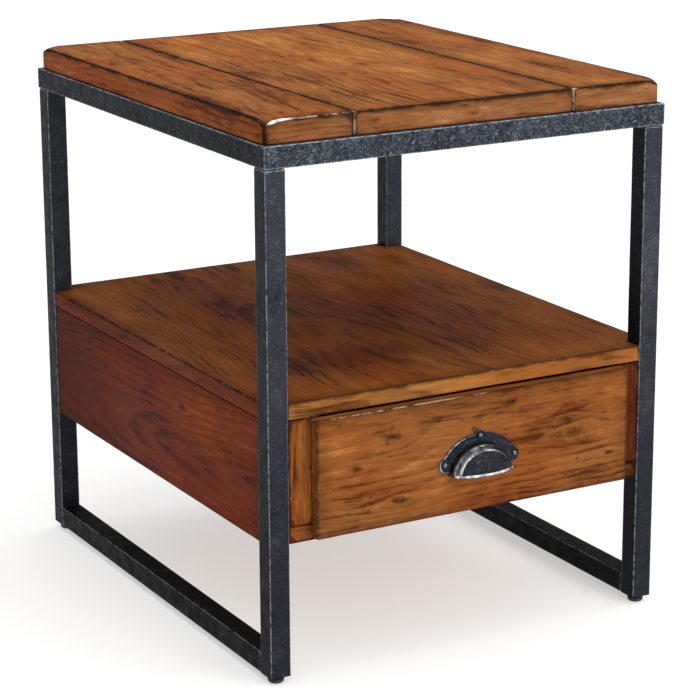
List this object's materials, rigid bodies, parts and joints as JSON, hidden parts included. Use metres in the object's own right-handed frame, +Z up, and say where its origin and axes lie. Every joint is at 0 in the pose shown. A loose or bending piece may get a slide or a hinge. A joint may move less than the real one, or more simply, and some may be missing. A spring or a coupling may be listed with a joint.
{
  "type": "side table with drawer",
  "caption": "Side table with a square-tube metal frame, a grooved plank top, an open shelf and a wooden case whose drawer slides out to the front on ball-bearing slides.",
  "frame": {"origin": "centre of the base of the whole table's box, on the floor", "axes": "+X to the table's right as seen from the front, +Y towards the back, +Z up; the drawer opens along -Y"},
  "size_m": [0.559, 0.7018, 0.686],
  "materials": {
    "blackened_steel": "hammered blackened steel, satin, edges worn bright",
    "glide_plastic": "matte black nylon",
    "top_wood": "satin lacquer over distressed warm brown stain",
    "shelf_wood": "satin lacquer over dark brown stain",
    "side_wood": "satin lacquer over dark reddish-brown stain",
    "stile_wood": "satin lacquer over dark amber stain",
    "drawer_wood": "satin lacquer over distressed warm brown stain, knotty",
    "inner_wood": "clear-sealed pale hardwood",
    "pull_iron": "antique pewter black, worn bright on its edges",
    "zinc_steel": "bright zinc plate",
    "buffer_rubber": "soft translucent grey"
  },
  "bodies": {
    "frame": {"back_panel": "side_wood", "back_panel_screws": "zinc_steel", "batten_screws": "zinc_steel", "bottom_rail": "stile_wood", "case_tabs": "blackened_steel", "floor_glides": "glide_plastic", "floor_rail_left": "blackened_steel", "floor_rail_right": "blackened_steel", "gusset_screws": "zinc_steel", "leg_end_plates": "blackened_steel", "leg_front_left": "blackened_steel", "leg_front_right": "blackened_steel", "leg_rear_left": "blackened_steel", "leg_rear_right": "blackened_steel", "ring_gussets": "blackened_steel", "shelf_board": "shelf_wood", "shelf_cleat_left": "inner_wood", "shelf_cleat_right": "inner_wood", "shelf_cleat_screws": "zinc_steel", "side_panel_left": "side_wood", "side_panel_right": "side_wood", "slide_case_member_left": "zinc_steel", "slide_case_member_right": "zinc_steel", "slide_case_screws": "zinc_steel", "slide_rail_left": "inner_wood", "slide_rail_right": "inner_wood", "slide_rail_screws": "zinc_steel", "stile_left": "stile_wood", "stile_right": "stile_wood", "top_batten_front": "inner_wood", "top_batten_middle": "inner_wood", "top_batten_rear": "inner_wood", "top_board_centre": "top_wood", "top_board_left": "top_wood", "top_board_right": "top_wood", "top_rail_front": "blackened_steel", "top_rail_left": "blackened_steel", "top_rail_rear": "blackened_steel", "top_rail_right": "blackened_steel"},
    "drawer": {"cup_pull": "pull_iron", "drawer_back": "inner_wood", "drawer_bottom": "inner_wood", "drawer_box_front": "inner_wood", "drawer_buffers": "buffer_rubber", "drawer_front": "drawer_wood", "drawer_front_screws": "zinc_steel", "drawer_side_left": "inner_wood", "drawer_side_right": "inner_wood", "pull_pins": "pull_iron", "slide_drawer_member_left": "zinc_steel", "slide_drawer_member_right": "zinc_steel", "slide_drawer_screws": "zinc_steel"},
    "left_middle_member": {"slide_middle_member_left": "zinc_steel"},
    "left_outer_cage": {"slide_outer_cage_left": "zinc_steel"},
    "left_inner_cage": {"slide_inner_cage_left": "zinc_steel"},
    "right_middle_member": {"slide_middle_member_right": "zinc_steel"},
    "right_outer_cage": {"slide_outer_cage_right": "zinc_steel"},
    "right_inner_cage": {"slide_inner_cage_right": "zinc_steel"}
  },
  "joints": [
    {"name": "drawer_slide", "type": "slide", "parent": "frame", "child": "drawer", "axis": [0, -1, 0], "range_m": [0, 0.5]},
    {"name": "left_middle_member_slide", "type": "slide", "parent": "frame", "child": "left_middle_member", "axis": [0, -1, 0], "range_m": [0, 0.25]},
    {"name": "left_outer_cage_slide", "type": "slide", "parent": "frame", "child": "left_outer_cage", "axis": [0, -1, 0], "range_m": [0, 0.125]},
    {"name": "left_inner_cage_slide", "type": "slide", "parent": "frame", "child": "left_inner_cage", "axis": [0, -1, 0], "range_m": [0, 0.375]},
    {"name": "right_middle_member_slide", "type": "slide", "parent": "frame", "child": "right_middle_member", "axis": [0, -1, 0], "range_m": [0, 0.25]},
    {"name": "right_outer_cage_slide", "type": "slide", "parent": "frame", "child": "right_outer_cage", "axis": [0, -1, 0], "range_m": [0, 0.125]},
    {"name": "right_inner_cage_slide", "type": "slide", "parent": "frame", "child": "right_inner_cage", "axis": [0, -1, 0], "range_m": [0, 0.375]}
  ],
  "couplings": [
    {"joint": "left_middle_member_slide", "follows": "drawer_slide", "ratio": 0.5},
    {"joint": "left_outer_cage_slide", "follows": "drawer_slide", "ratio": 0.25},
    {"joint": "left_inner_cage_slide", "follows": "drawer_slide", "ratio": 0.75},
    {"joint": "right_middle_member_slide", "follows": "drawer_slide", "ratio": 0.5},
    {"joint": "right_outer_cage_slide", "follows": "drawer_slide", "ratio": 0.25},
    {"joint": "right_inner_cage_slide", "follows": "drawer_slide", "ratio": 0.75}
  ]
}
